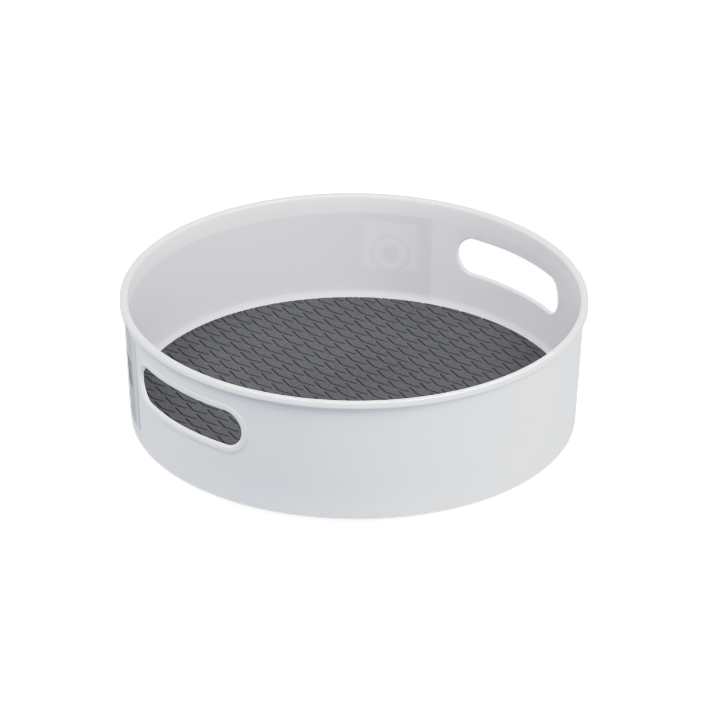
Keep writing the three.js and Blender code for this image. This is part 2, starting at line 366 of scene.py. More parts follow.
def slotFace(name, start):  # a filled slot outline, standing in the XZ plane and facing -Y
    endRadius = slotShape["height"] / 2 + start
    reach = (slotShape["length"] - slotShape["height"]) / 2
    face = startFrom(bpy.ops.mesh.primitive_circle_add, name, vertices=slotShape["roundVerts"],
                     radius=endRadius, rotation=(pi / 2, 0, 0))
    for side in (1, -1):
        select("VERT", lambda spot, _: side * spot.x > 0)
        move(x=side * reach)
    select("EDGE", lambda _, edge: edge.calc_length() > reach / 2)
    bpy.ops.mesh.subdivide(number_cuts=slotShape["straightCuts"])
    selectAll()
    bpy.ops.mesh.edge_face_add()
    faceUp = bmesh.from_edit_mesh(face.data).faces
    faceUp.ensure_lookup_table()
    if faceUp[0].normal.y > 0:
        bpy.ops.mesh.flip_normals()
    return face


def stepIn(steps):  # insets the face through (distance outside the slot, height) pairs, then opens it
    bpy.ops.mesh.select_mode(type="FACE")
    selectAll()
    for (outside, height), (nextOutside, nextHeight) in zip(steps, steps[1:]):
        bpy.ops.mesh.inset(thickness=max(outside - nextOutside, 0.001 * mm), depth=nextHeight - height)
    bpy.ops.mesh.delete(type="FACE")
    objectMode()


def wallSkin(name, depth, steps, facing):  # half the wall laid flat, with a hand slot in the middle
    grid = wallGrid
    skin = startFrom(bpy.ops.mesh.primitive_grid_add, name, x_subdivisions=grid["columns"],
                     y_subdivisions=grid["rowsUp"] + grid["rowsDown"], size=1, rotation=(pi / 2, 0, 0))
    stretch(x=grid["columns"] * grid["columnWidth"],
            z=(grid["rowsUp"] + grid["rowsDown"]) * grid["rowHeight"])
    move(z=(grid["rowsUp"] - grid["rowsDown"]) / 2 * grid["rowHeight"])
    select("FACE", lambda spot, _: inPatch(spot))
    bpy.ops.mesh.delete(type="FACE")
    slot = slotFace(name + "Slot", steps[0][0])
    stepIn(steps)
    joinInto(skin, slot)
    editMode(skin)
    select("EDGE", lambda spot, edge: edge.is_boundary and abs(spot.y) < touch and inPatch(spot, near=1.001))
    bpy.ops.mesh.bridge_edge_loops()
    objectMode()
    place(skin, turn=(0, 0, 0 if facing < 0 else pi), spot=(0, depth, 0))
    return skin


def slottedWall(name):
    slot = slotShape
    border, proud, foot, round1, round2 = (slot[key] for key in (
        "borderWidth", "borderProud", "borderFoot", "outerRound", "innerRound"))
    outerSteps = [(border + foot, 0)]
    outerSteps += arc(border + foot, foot / 2, foot / 2, -90, -180, 3)[1:]
    outerSteps += arc(border - foot, proud - foot, foot, 15, 90, 4)
    outerSteps += arc(round1, proud - round1, round1, 90, 180, 6)
    outerSteps += [(0, slot["innerRound"] + slot["straight"] - binShape["wall"])]
    innerSteps = arc(round2, -round2, round2, 90, 180, 5)
    wall = wallSkin(name, 0, outerSteps, facing=-1)
    inner = wallSkin(name + "Inner", binShape["wall"], innerSteps, facing=1)
    joinInto(wall, inner)
    editMode(wall)
    select("EDGE", lambda spot, edge: edge.is_boundary and inPatch(spot))
    bpy.ops.mesh.bridge_edge_loops()
    place(wall, turn=(binShape["draft"], 0, 0))
    halfLength = wallGrid["columns"] * wallGrid["columnWidth"] / 2
    other = copyOf(wall, name + "Other")
    place(wall, spot=(halfLength, 0, 0))
    place(other, spot=(-halfLength, 0, 0))
    joinInto(wall, other)
    weld(wall, outward=False)
    applyModifier(wall, "SIMPLE_DEFORM", deform_method="BEND", deform_axis="Z", angle=2 * pi)
    place(wall, spot=(0, -bendRadius, slot["middle"]))
    weld(wall, outward=False)
    return wall


def grooveArc(height, opensUp):  # the ball race's section, from the inside outwards
    lip = degrees(acos(1 - bearing["raceLip"] / bearing["grooveRadius"]))
    size = bearing["grooveRadius"]
    if opensUp:
        return arc(bearing["pitch"], height + size, size, -90 - lip, -90 + lip, 10)
    return arc(bearing["pitch"], height - size, size, 90 + lip, 90 - lip, 10)


def wallRow(skin, row):  # radius and height of a row of the flat wall, once it is tilted and bent
    up = row * wallGrid["rowHeight"]
    lean = binShape["draft"]
    radius = bendRadius - skin * cos(lean) + up * sin(lean)
    return radius, slotShape["middle"] + skin * sin(lean) + up * cos(lean)


def rimOutline():
    shape = binShape
    under = shape["top"] - shape["rimDepth"]
    fillet, lip, crown, inner = (shape[key] for key in ("rimFillet", "lipRound", "rimRound", "innerRound"))
    return [
        wallRow(0, wallGrid["rowsUp"]),
        *arc(wallAt(under - fillet) + fillet, under - fillet, fillet, 180, 90, 3),
        *arc(shape["rimRadius"] - lip, under + lip, lip, -90, 0, 4),
        *arc(shape["rimRadius"] - crown, shape["top"] - crown, crown, 0, 90, 7),
        *arc(insideAt(shape["top"]) + inner, shape["top"] - inner, inner, 90, 180, 5),
        wallRow(shape["wall"], wallGrid["rowsUp"]),
    ]


def floorOutline():
    shape = binShape
    filletHeight = matHigh.z + shape["filletRise"]
    filletRadius = insideAt(filletHeight) - shape["fillet"]
    end = -degrees(acos((shape["recess"] - filletRadius) / shape["fillet"]))
    edge = 0.2 * mm
    trimTop, trimLow = shape["filletTrim"]
    return [
        wallRow(shape["wall"], -wallGrid["rowsDown"]),
        *arc(filletRadius, filletHeight, shape["fillet"], -trimTop, end + trimLow, 7),
        (shape["recess"], filletHeight + shape["fillet"] * sin(radians(end)) - edge),
        *[(shape["recess"] * share, shape["floorTop"]) for share in (1, 0.75, 0.5, 0.25, 0)],
    ]


def undersideOutline():
    shape = binShape
    skirt, soft = shape["skirt"], shape["skirtRound"]
    under = shape["floorTop"] - shape["floor"]
    raceFoot = bearing["ballHeight"] + bearing["ballRadius"] + bearing["play"]
    inner, outer = bearing["pitch"] - bearing["raceWidth"] / 2, bearing["pitch"] + bearing["raceWidth"] / 2
    lip, fillet = 0.3 * mm, 0.6 * mm
    outerFlat, innerFlat = 0.88 * insideAt(under), 0.5 * inner     # where the wide flats are divided
    return [
        wallRow(0, -wallGrid["rowsDown"]),
        *arc(wallAt(skirt + soft) - soft, skirt + soft, soft, 0, -90, 4),
        *arc(insideAt(skirt + soft) + soft, skirt + soft, soft, -90, -180, 4),
        *arc(insideAt(under - fillet) - fillet, under - fillet, fillet, 0, 90, 3),
        (outerFlat, under),
        *arc(outer + fillet, under - fillet, fillet, 90, 180, 3),
        *arc(outer - lip, raceFoot - bearing["raceLip"] + lip, lip, 0, -90, 3),
        *reversed(grooveArc(raceFoot, opensUp=False)),
        *arc(inner + lip, raceFoot - bearing["raceLip"] + lip, lip, -90, -180, 3),
        *arc(inner - fillet, under - fillet, fillet, 0, 90, 3),
        (innerFlat, under),
        *arc(pivot["bossRadius"] + fillet, under - fillet, fillet, 90, 180, 3),
        *arc(pivot["bossRadius"] - lip, pivot["bossEnd"] + lip, lip, 0, -90, 3),
        (pivot["screwHole"] + lip, pivot["bossEnd"]),
        (pivot["screwHole"], pivot["bossEnd"] + lip),
        (pivot["screwHole"], pivot["holeTop"]),
        (0, pivot["holeTop"]),
    ]


def ribsRound(name, count, start, end, bottom, top, width, softAtTop):
    rib = startFrom(bpy.ops.mesh.primitive_cube_add, name, size=1)
    stretch(x=end - start, y=width, z=top - bottom)
    move(x=(start + end) / 2, z=(bottom + top) / 2)
    freeEdge = top if softAtTop else bottom
    select("EDGE", lambda spot, edge: abs(spot.z - freeEdge) < touch and abs(spot.y) > touch)
    bpy.ops.mesh.bevel(offset=width / 4, segments=3, affect="EDGES")
    copies = [copyOf(rib, f"{name}{i}") for i in range(1, count)]
    for i, other in enumerate(copies, 1):
        place(other, turn=(0, 0, 2 * pi * i / count))
    joinInto(rib, *copies)
    return rib


def makeBin():
    shape = binShape
    piece = slottedWall("turning_bin")
    joinInto(piece, lathe("rim", rimOutline(), wallSides), lathe("floor", floorOutline(), wallSides),
             lathe("underside", undersideOutline(), wallSides))
    weld(piece)
    root = shape["floorTop"] - shape["floor"] / 2
    bottom = shape["floorTop"] - shape["floor"] - shape["ribHeight"]
    width = shape["ribWidth"]
    race = bearing["raceWidth"] / 2 - width
    outerRibs = ribsRound("outerRibs", shape["ribs"], bearing["pitch"] + race,
                          insideAt(bottom) + shape["wall"] / 2, bottom, root, width, softAtTop=False)
    innerRibs = ribsRound("innerRibs", shape["ribs"] // 2, pivot["bossRadius"] - width,
                          bearing["pitch"] - race, bottom, root, width, softAtTop=False)
    joinInto(outerRibs, innerRibs)
    cutWith(piece, outerRibs, "UNION")
    smooth(piece)
    return piece


turningBin = makeBin()
print("bin made")

# The rubber mat on its floor

matShape = {
    "radius": matHigh.x,
    "bottom": matLow.z,
    "top": matHigh.z,
    "edgeRound": 0.45 * mm,
    "strokeLength": 21.5 * mm,
    "strokeBend": 2.77 * mm,     # how far the middle stands off the line between the ends
    "strokeWidth": 1.35 * mm,
    "strokeDepth": 0.8 * mm,
    "strokeTaper": 0.45,         # width left at its very ends
    "strokePitch": 9.15 * mm,    # from a stroke to the next in its row
    "rowPitch": 15.65 * mm,      # rows overlap, and each is set half a pitch aside from the last
    "firstStroke": (-147.15 * mm, -136.4 * mm),
    "rowStrokes": 33,
    "rows": 19,
}


def makeStrokes(shape):  # the pressed strokes as one tool, to cut from the mat
    width, lift, above = shape["strokeWidth"], 0.3 * mm, 0.05 * mm
    stroke = startFrom(bpy.ops.mesh.primitive_grid_add, "stroke", x_subdivisions=1, y_subdivisions=2, size=1)
    half = shape["strokeLength"] / 2 - width / 2
    stretch(x=width, y=2 * half)
    select("VERT", lambda spot, _: abs(spot.y) > 0.9 * half)
    move(x=shape["strokeBend"])
    for side in (1, -1):
        select("EDGE", lambda spot, edge: side * spot.y > 0.99 * half)
        bpy.ops.mesh.extrude_region_move(TRANSFORM_OT_translate={"value": (0, side * width / 2, 0)})
        stretch(x=shape["strokeTaper"], about=(shape["strokeBend"], 0, 0))
    selectAll()
    move(z=shape["top"] + lift)
    bpy.ops.mesh.extrude_region_move(TRANSFORM_OT_translate={"value": (0, 0, above - lift)})
    selectAll()
    bpy.ops.mesh.normals_make_consistent(inside=False)
    select("FACE", lambda spot, _: spot.z < shape["top"] + lift / 3)
    bpy.ops.mesh.inset(thickness=width / 4, depth=shape["strokeDepth"] + above)
    objectMode()
    firstX, firstY = shape["firstStroke"]
    other = copyOf(stroke, "strokeOther")
    place(stroke, spot=(firstX, firstY, 0))
    place(other, spot=(firstX + shape["strokePitch"] / 2, firstY + shape["rowPitch"], 0))
    for piece, rows in ((stroke, (shape["rows"] + 1) // 2), (other, shape["rows"] // 2)):
        applyModifier(piece, "ARRAY", count=shape["rowStrokes"], use_relative_offset=False,
                      use_constant_offset=True, constant_offset_displace=(shape["strokePitch"], 0, 0))
        applyModifier(piece, "ARRAY", count=rows, use_relative_offset=False, use_constant_offset=True,
                      constant_offset_displace=(0, 2 * shape["rowPitch"], 0))
    joinInto(stroke, other)
    editMode(stroke)
    reach = shape["radius"] + shape["strokeWidth"]
    select("VERT", lambda spot, _: spot.xy.length < reach)
    bpy.ops.mesh.select_linked()
    bpy.ops.mesh.select_all(action="INVERT")
    bpy.ops.mesh.delete(type="VERT")
    objectMode()
    return stroke


def makeMat(shape):
    middle = (shape["top"] + shape["bottom"]) / 2
    mat = startFrom(bpy.ops.mesh.primitive_cylinder_add, "rubber_mat", vertices=wallSides,
                    radius=shape["radius"], depth=shape["top"] - shape["bottom"], location=(0, 0, middle))
    for height, round in ((shape["top"], shape["edgeRound"]), (shape["bottom"], shape["edgeRound"] / 2)):
        select("EDGE", lambda spot, _: abs(spot.z - height) < touch)
        bpy.ops.mesh.bevel(offset=round, segments=3, affect="EDGES")
    cutWith(mat, makeStrokes(shape))
    smooth(mat)
    return mat


rubberMat = makeMat(matShape)
print("mat made")

# The sticker round the back of the wall

stickerShape = {
    "start": radians(26.8),
    "end": radians(157.5),
    "bottom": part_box("outer_label")[0].z,
    "top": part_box("outer_label")[1].z,
    "thickness": 0.25 * mm,
    "gap": 0.05 * mm,
    "corner": 3 * mm,
    "columns": 84,
    "rows": 10,
}


def makeSticker(shape):
    lean = cos(binShape["draft"])
    width = (shape["end"] - shape["start"]) * bendRadius
    bottom, top = ((shape[end] - slotShape["middle"]) / lean for end in ("bottom", "top"))
    sticker = startFrom(bpy.ops.mesh.primitive_grid_add, "outer_sticker", x_subdivisions=shape["columns"],
                        y_subdivisions=shape["rows"], size=1, rotation=(pi / 2, 0, 0))
    stretch(x=width, z=top - bottom)
    move(z=(top + bottom) / 2)
    select("VERT", lambda _, vert: len(vert.link_edges) == 2)
    bpy.ops.mesh.bevel(offset=shape["corner"], segments=5, affect="VERTICES")
    applyModifier(sticker, "SOLIDIFY", thickness=shape["thickness"], offset=0)
    place(sticker, spot=(0, -shape["gap"] - shape["thickness"] / 2, 0))
    place(sticker, turn=(binShape["draft"], 0, 0))
    applyModifier(sticker, "SIMPLE_DEFORM", deform_method="BEND", deform_axis="Z", angle=width / bendRadius)
    place(sticker, spot=(0, -bendRadius, slotShape["middle"]))
    place(sticker, turn=(0, 0, (shape["start"] + shape["end"]) / 2 + pi / 2))
    weld(sticker)
    smooth(sticker)
    return sticker


outerSticker = makeSticker(stickerShape)
print("sticker made")

# The base plate and its feet

baseLow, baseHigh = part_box("base_plate")
footLow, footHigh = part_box("foot_pad_01")
baseShape = {
    "radius": baseHigh.x,
    "bottom": baseLow.z,
    "top": baseLow.z + 2 * mm,
    "rimTop": baseLow.z + 5 * mm,
    "rimWidth": 2 * mm,
    "railTop": baseHigh.z,
    "railWidth": 1.8 * mm,
    "cageSpace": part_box("ball_cage")[1].x - bearing["pitch"] + 0.5 * mm,
    "hubBore": pivot["bossRadius"] + 0.4 * mm,
    "hubRecess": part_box("pivot_washer")[1].x + 2 * mm,
    "hubWall": 2 * mm,
    "webBottom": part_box("pivot_washer")[1].z + 0.4 * mm,
    "webTop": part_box("pivot_washer")[1].z + 2.9 * mm,
    "ribs": 12,
    "ribWidth": 1.4 * mm,
    "ribTop": baseLow.z + 4 * mm,
    "footGap": 0.2 * mm,
    "footWall": 1.6 * mm,
    "pocketTop": footHigh.z + 0.2 * mm,
    "footRoof": baseLow.z + 3 * mm,
    "soft": 0.4 * mm,
}
footShape = {
    "radius": (footHigh.x - footLow.x) / 2,
    "top": footHigh.z,
    "rimWidth": 1.6 * mm,
    "dish": 0.35 * mm,
    "soft": 0.6 * mm,
    "sides": 48,
    "count": 6,
}


def makeBasePlate(shape):
    soft, fine = shape["soft"], shape["soft"] / 2
    rimInner = shape["radius"] - shape["rimWidth"]
    hubOuter = shape["hubRecess"] + shape["hubWall"]
    race = bearing["raceWidth"] / 2
    groove = bearing["ballHeight"] - bearing["ballRadius"] - bearing["play"]
    lip = groove + bearing["raceLip"]
    outerRail, innerRail = (bearing["pitch"] + side * shape["cageSpace"] for side in (1, -1))
    outerBack, innerBack = outerRail + shape["railWidth"], innerRail - shape["railWidth"]
    raceOuter, raceInner = bearing["pitch"] + race, bearing["pitch"] - race
    top, railTop = shape["top"], shape["railTop"]
    corners = [
        (shape["hubBore"], shape["webBottom"], soft),
        (shape["hubRecess"], shape["webBottom"], fine),
        (shape["hubRecess"], shape["bottom"], soft),
        (shape["radius"], shape["bottom"], 2 * soft),
        (shape["radius"], shape["rimTop"], soft),
        (rimInner, shape["rimTop"], soft),
        (rimInner, top, soft),
        (outerBack, top, soft),
        (outerBack, railTop, soft),
        (outerRail, railTop, soft),
        (outerRail, top, fine),
        (raceOuter, top, fine),
        (raceOuter, lip, fine),
        *[(radius, height, 0) for radius, height in reversed(grooveArc(groove, opensUp=True))],
        (raceInner, lip, fine),
        (raceInner, top, fine),
        (innerRail, top, fine),
        (innerRail, railTop, soft),
        (innerBack, railTop, soft),
        (innerBack, top, soft),
        (hubOuter, top, soft),
        (hubOuter, shape["webTop"], soft),
        (shape["hubBore"], shape["webTop"], soft),
    ]
    plate = ringOf("base_moulding", corners, wallSides)
    root = (shape["bottom"] + shape["top"]) / 2
    ribs = ribsRound("baseRibs", shape["ribs"], hubOuter - shape["hubWall"] / 2, (innerRail + innerBack) / 2,
                     root, shape["ribTop"], shape["ribWidth"], softAtTop=True)
    pocketRadius = footShape["radius"] + shape["footGap"]
    boss = lathe("footBosses", softCorners([
        (0, root, 0),
        (pocketRadius + shape["footWall"], root, 0),
        (pocketRadius + shape["footWall"], shape["footRoof"], soft),
        (0, shape["footRoof"], 0),
    ]), footShape["sides"])
    pocket = lathe("footPockets", [
        (0, shape["bottom"] - soft),
        (pocketRadius + 2 * soft, shape["bottom"] - soft),
        (pocketRadius, shape["bottom"] + soft),
        (pocketRadius, shape["pocketTop"]),
        (0, shape["pocketTop"]),
    ], footShape["sides"])
    for tool in (boss, pocket):
        joinInto(*oneAtEach(tool, tool.name, "foot_pad", footShape["count"]))
    joinInto(ribs, boss)
    cutWith(plate, ribs, "UNION")
    cutWith(plate, pocket)
    smooth(plate)
    return plate


def makeFeet(shape):
    radius, rim = shape["radius"], shape["rimWidth"]
    foot = lathe("rubber_foot_01", softCorners([
        (0, shape["dish"], 0),
        (radius - rim - shape["soft"], shape["dish"], shape["soft"] / 2),
        (radius - rim, 0, shape["soft"] / 2),
        (radius, 0, shape["soft"]),
        (radius, shape["top"], shape["soft"] / 3),
        (0, shape["top"], 0),
    ]), shape["sides"])
    smooth(foot)
    return oneAtEach(foot, "rubber_foot", "foot_pad", shape["count"])


basePlate = makeBasePlate(baseShape)
rubberFeet = makeFeet(footShape)
print("base plate and feet made")

# The balls and their cage

cageLow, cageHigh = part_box("ball_cage")
cageShape = {
    "halfWidth": cageHigh.x - bearing["pitch"],
    "bottom": cageLow.z,
    "top": cageHigh.z,
    "roof": 1.8 * mm,
    "wall": 1.3 * mm,
    "pocketGap": 0.3 * mm,
    "soft": 0.3 * mm,
    "pocketSides": 32,
    "balls": 16,
    "ballCuts": 7,    # across each side of the cube a ball is rounded from
}


def makeCage(shape):
    soft = shape["soft"]
    inner, outer = (bearing["pitch"] + side * shape["halfWidth"] for side in (-1, 1))
    underRoof = shape["top"] - shape["roof"]
    cage = ringOf("ball_ring", [
        (inner, shape["bottom"], soft),
        (inner + shape["wall"], shape["bottom"], soft),
        (inner + shape["wall"], underRoof, soft),
        (outer - shape["wall"], underRoof, soft),
        (outer - shape["wall"], shape["bottom"], soft),
        (outer, shape["bottom"], soft),
        (outer, shape["top"], soft),
        (inner, shape["top"], soft),
    ], wallSides)
    radius = bearing["ballRadius"] + shape["pocketGap"]
    pocket = lathe("ballPockets", [
        (0, underRoof - 2 * soft),
        (radius + 3 * soft, underRoof - 2 * soft),
        (radius, underRoof + soft),
        (radius, shape["top"] - soft),
        (radius + 3 * soft, shape["top"] + 2 * soft),
        (0, shape["top"] + 2 * soft),
    ], shape["pocketSides"])
    joinInto(*oneAtEach(pocket, pocket.name, "bearing_ball", shape["balls"]))
    cutWith(cage, pocket)
    smooth(cage)
    return cage


def makeBalls(shape):
    ball = startFrom(bpy.ops.mesh.primitive_cube_add, "steel_ball_01", size=2 * bearing["ballRadius"])
    bpy.ops.mesh.subdivide(number_cuts=shape["ballCuts"])
    bpy.ops.transform.tosphere(value=1)
    verts = bmesh.from_edit_mesh(ball.data).verts
    verts.ensure_lookup_table()
    scale = bearing["ballRadius"] / verts[0].co.length
    stretch(x=scale, y=scale, z=scale)
    bpy.ops.mesh.faces_shade_smooth()
    return oneAtEach(ball, "steel_ball", "bearing_ball", shape["balls"], lifted=True)


ballCage = makeCage(cageShape)
steelBalls = makeBalls(cageShape)
print("balls and cage made")

# The pivot's washer and screw

washerLow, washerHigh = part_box("pivot_washer")
screwLow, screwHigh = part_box("pivot_screw")
screwShape = {
    "bottom": screwLow.z,
    "top": screwHigh.z,
    "headRadius": screwHigh.x,
    "headHeight": 2.1 * mm,
    "crown": 1.2 * mm,
    "shankRadius": 1.75 * mm,
    "thread": ((0.35 * mm, 0.1), (0, 0.5), (0, 0.6)),    # how deep, at which share of a turn
    "threadPitch": 0.7 * mm,
    "threads": 6,
    "recessLength": 4.6 * mm,
    "recessWidth": 1 * mm,
    "recessDepth": 1.2 * mm,
    "recessTaper": (0.5, 0.7),
    "headEdge": 0.1 * mm,
    "sides": 48,
    "washerHole": 2.3 * mm,
    "washerSoft": 0.2 * mm,
    "washerSides": 96,
}


def makeWasher(shape):
    soft = shape["washerSoft"]
    washer = ringOf("steel_washer", [
        (shape["washerHole"], washerLow.z, soft),
        (washerHigh.x, washerLow.z, 1.5 * soft),
        (washerHigh.x, washerHigh.z, soft / 2),
        (shape["washerHole"], washerHigh.z, soft),
    ], shape["washerSides"])
    smooth(washer)
    return washer


def makeScrew(shape):
    crown = shape["crown"]
    headTop = shape["bottom"] + shape["headHeight"]
    thread = []
    for i in range(shape["threads"]):
        start = headTop + i * shape["threadPitch"]
        for depth, share in shape["thread"]:
            thread.append((shape["shankRadius"] - depth, start + share * shape["threadPitch"]))
    screw = lathe("pan_screw", [
        (0, shape["bottom"]),
        *arc(shape["headRadius"] - crown, shape["bottom"] + crown, crown, -90, 0, 6),
        (shape["headRadius"], headTop - shape["headEdge"]),
        (shape["headRadius"] - shape["headEdge"], headTop),
        *thread,
        (0, shape["top"]),
    ], shape["sides"])
    blade = startFrom(bpy.ops.mesh.primitive_cube_add, "recess", size=1)
    stretch(x=shape["recessLength"], y=shape["recessWidth"], z=2 * shape["recessDepth"])
    move(z=shape["bottom"])
    select("FACE", lambda spot, _: spot.z > shape["bottom"] + 0.9 * shape["recessDepth"])
    stretch(*shape["recessTaper"])
    other = copyOf(blade, "recessOther")
    place(other, turn=(0, 0, pi / 2))
    cutWith(blade, other, "UNION")
    cutWith(screw, blade)
    smooth(screw, 30)
    return screw


steelWasher = makeWasher(screwShape)
panScrew = makeScrew(screwShape)
print("washer and screw made")

# Finishes


def tone(red, green, blue):  # a colour as seen on screen, from 0 to 255, for a shader
    return tuple((share / 255) ** 2.2 for share in (red, green, blue)) + (1,)


def newFinish(name, settings):
    finish = bpy.data.materials.new(name)
    finish.use_nodes = True
    shader = finish.node_tree.nodes["Principled BSDF"]
    for socket, value in settings.items():
        shader.inputs[socket].default_value = value
    return finish


def add(finish, kind, inputs=(), **settings):  # a node, each input given as a value or another's output
    node = finish.node_tree.nodes.new("ShaderNode" + kind)
    for key, value in settings.items():
        setattr(node, key, value)
    for socket, value in dict(inputs).items():
        if isinstance(value, bpy.types.NodeSocket):
            finish.node_tree.links.new(value, node.inputs[socket])
        else:
            node.inputs[socket].default_value = value
    return node


def give(finish, socket, output):
    finish.node_tree.links.new(output, finish.node_tree.nodes["Principled BSDF"].inputs[socket])


def spotOn(finish, turn=0, scale=(1, 1, 1)):  # the place on the piece, turned about its axis
    coords = add(finish, "TexCoord").outputs["Object"]
    settings = {"Vector": coords, "Rotation": (0, 0, turn), "Scale": scale}
    return add(finish, "Mapping", settings).outputs["Vector"]


def noise(finish, spot, scale, detail=3.0, roughness=0.5):
    settings = {"Vector": spot, "Scale": scale, "Detail": detail, "Roughness": roughness}
    return add(finish, "TexNoise", settings).outputs["Fac"]


def between(finish, value, start, end, low=1.0, high=0.0, smoothly=False):  # low at start and high at end
    settings = {"Value": value, "From Min": start, "From Max": end, "To Min": low, "To Max": high}
    kind = "SMOOTHSTEP" if smoothly else "LINEAR"
    return add(finish, "MapRange", settings, interpolation_type=kind).outputs["Result"]


def blendTones(finish, share, first, second):
    mix = add(finish, "Mix", {0: share, 6: first, 7: second}, data_type="RGBA")
    return mix.outputs[2]


def spread(finish, value, low=0.0, high=1.0):  # a noise's values mostly lie from 0.3 to 0.7
    return between(finish, value, 0.3, 0.7, low, high)


def maths(finish, kind, first, second=0.0):
    return add(finish, "Math", {0: first, 1: second}, operation=kind).outputs["Value"]


def bumps(finish, layers):  # layers of (height, depth in metres), the broadest first
    normal = None
    for height, depth in layers:
        inputs = {"Height": height, "Distance": depth, "Strength": 1.0}
        if normal:
            inputs["Normal"] = normal
        normal = add(finish, "Bump", inputs).outputs["Normal"]
    give(finish, "Normal", normal)


def inside(finish, value, middle, half, soft):  # 1 where value is within half of middle, 0 elsewhere
    offset = maths(finish, "ABSOLUTE", maths(finish, "SUBTRACT", value, middle))
    return between(finish, offset, half - soft, half + soft, smoothly=True)


def both(finish, *masks):
    result = masks[0]
    for mask in masks[1:]:
        result = maths(finish, "MULTIPLY", result, mask)
    return result


def lengthOf(finish, x, y):
    return maths(finish, "SQRT", maths(finish, "ADD", both(finish, x, x), both(finish, y, y)))


def axesOf(finish, spot):
    axes = add(finish, "SeparateXYZ", {"Vector": spot}).outputs
    return axes["X"], axes["Y"], axes["Z"]


def moulded(finish, settings):  # tone, gloss and surface that all the moulded plastics share
    spot = spotOn(finish)
    cloud = noise(finish, spot, settings["cloudScale"], 4)
    grain = noise(finish, spot, settings["grainScale"], 3)
    skin = noise(finish, spot, settings["skinScale"], 2)
    colour = blendTones(finish, spread(finish, cloud), settings["dark"], settings["light"])
    handled = noise(finish, spot, 3 * settings["cloudScale"], 6)
    give(finish, "Roughness", spread(finish, handled, *settings["gloss"]))
    bumps(finish, [(skin, settings["skinDepth"]), (grain, settings["grainDepth"])])
    return colour


# The sticker's picture, in shares of its length and height. Its panel, ring and hub are also painted faintly
# on the inner wall, as the shade the sticker casts through it.
picture = {
    "disc": (0.088, 0.542),
    "ringRadius": 12.8 * mm,
    "ringWidth": 1.3 * mm,
    "hubRadius": 5.8 * mm,
    "soft": 0.25 * mm,
    "panel": ((0.087, 0.057), (0.635, 0.265)),     # middle and half size, along and up
    "shelf": ((0.54, 0.3), (0.2, 0.035)),
    "band": ((0.54, 0.3), (0.1, 0.06)),
    "patch": ((0.905, 0.055), (0.53, 0.15)),
    "jars": ((0.38, 0.15), (0.54, 0.2), (0.7, 0.13)),     # where along, and radius as a share of the height
    "jarInner": 0.75,
    "patchSoft": 0.012,
}


def pictureBox(finish, along, up, part, soft=0.004):
    (middleAlong, halfAlong), (middleUp, halfUp) = picture[part]
    return both(finish, inside(finish, along, middleAlong, halfAlong, soft / 2),
                inside(finish, up, middleUp, halfUp, soft))


def distanceFrom(finish, along, up, spot):  # in metres on the sticker
    length = (stickerShape["end"] - stickerShape["start"]) * bendRadius
    height = stickerShape["top"] - stickerShape["bottom"]
    x = maths(finish, "MULTIPLY", maths(finish, "SUBTRACT", along, spot[0]), length)
    y = maths(finish, "MULTIPLY", maths(finish, "SUBTRACT", up, spot[1]), height)
    return lengthOf(finish, x, y)


def discMarks(finish, along, up, soft):  # the ring and the hub in it
    away = distanceFrom(finish, along, up, picture["disc"])
    ring = inside(finish, away, picture["ringRadius"], picture["ringWidth"] / 2, soft)
    hub = between(finish, away, picture["hubRadius"] - soft, picture["hubRadius"] + soft)
    return ring, hub


binPlastic = {
    "dark": tone(240, 240, 244),
    "light": tone(245, 245, 247),
    "shadow": tone(232, 232, 237),        # painted shade, where the sticker shows through
    "shadowPanel": tone(239, 239, 243),
    "shadowMark": tone(229, 229, 236),
    "shadowSoft": 1.8 * mm,
    "shadowPanelSoft": 0.02,
    "showThroughShadeSoft": (0.004, 0.01),
    "wallFrom": (9 * mm, 6 * mm),         # in from the wall's foot, where the wall takes over from the floor
    "skinShare": (0.2, 0.8),              # of the wall's thickness, where its inner skin ends
    "cornerRise": (1 * mm, 9 * mm),       # up from the floor, where light soaks in less
    "translucency": 0.7,
    "cornerTranslucency": 0.05,
    "depthOfGlow": 4 * mm,
    "cloudScale": 22.0,
    "grainScale": 2600.0,
    "skinScale": 260.0,
    "grainDepth": 0.000012,
    "skinDepth": 0.000045,
    "gloss": (0.3, 0.4),
}


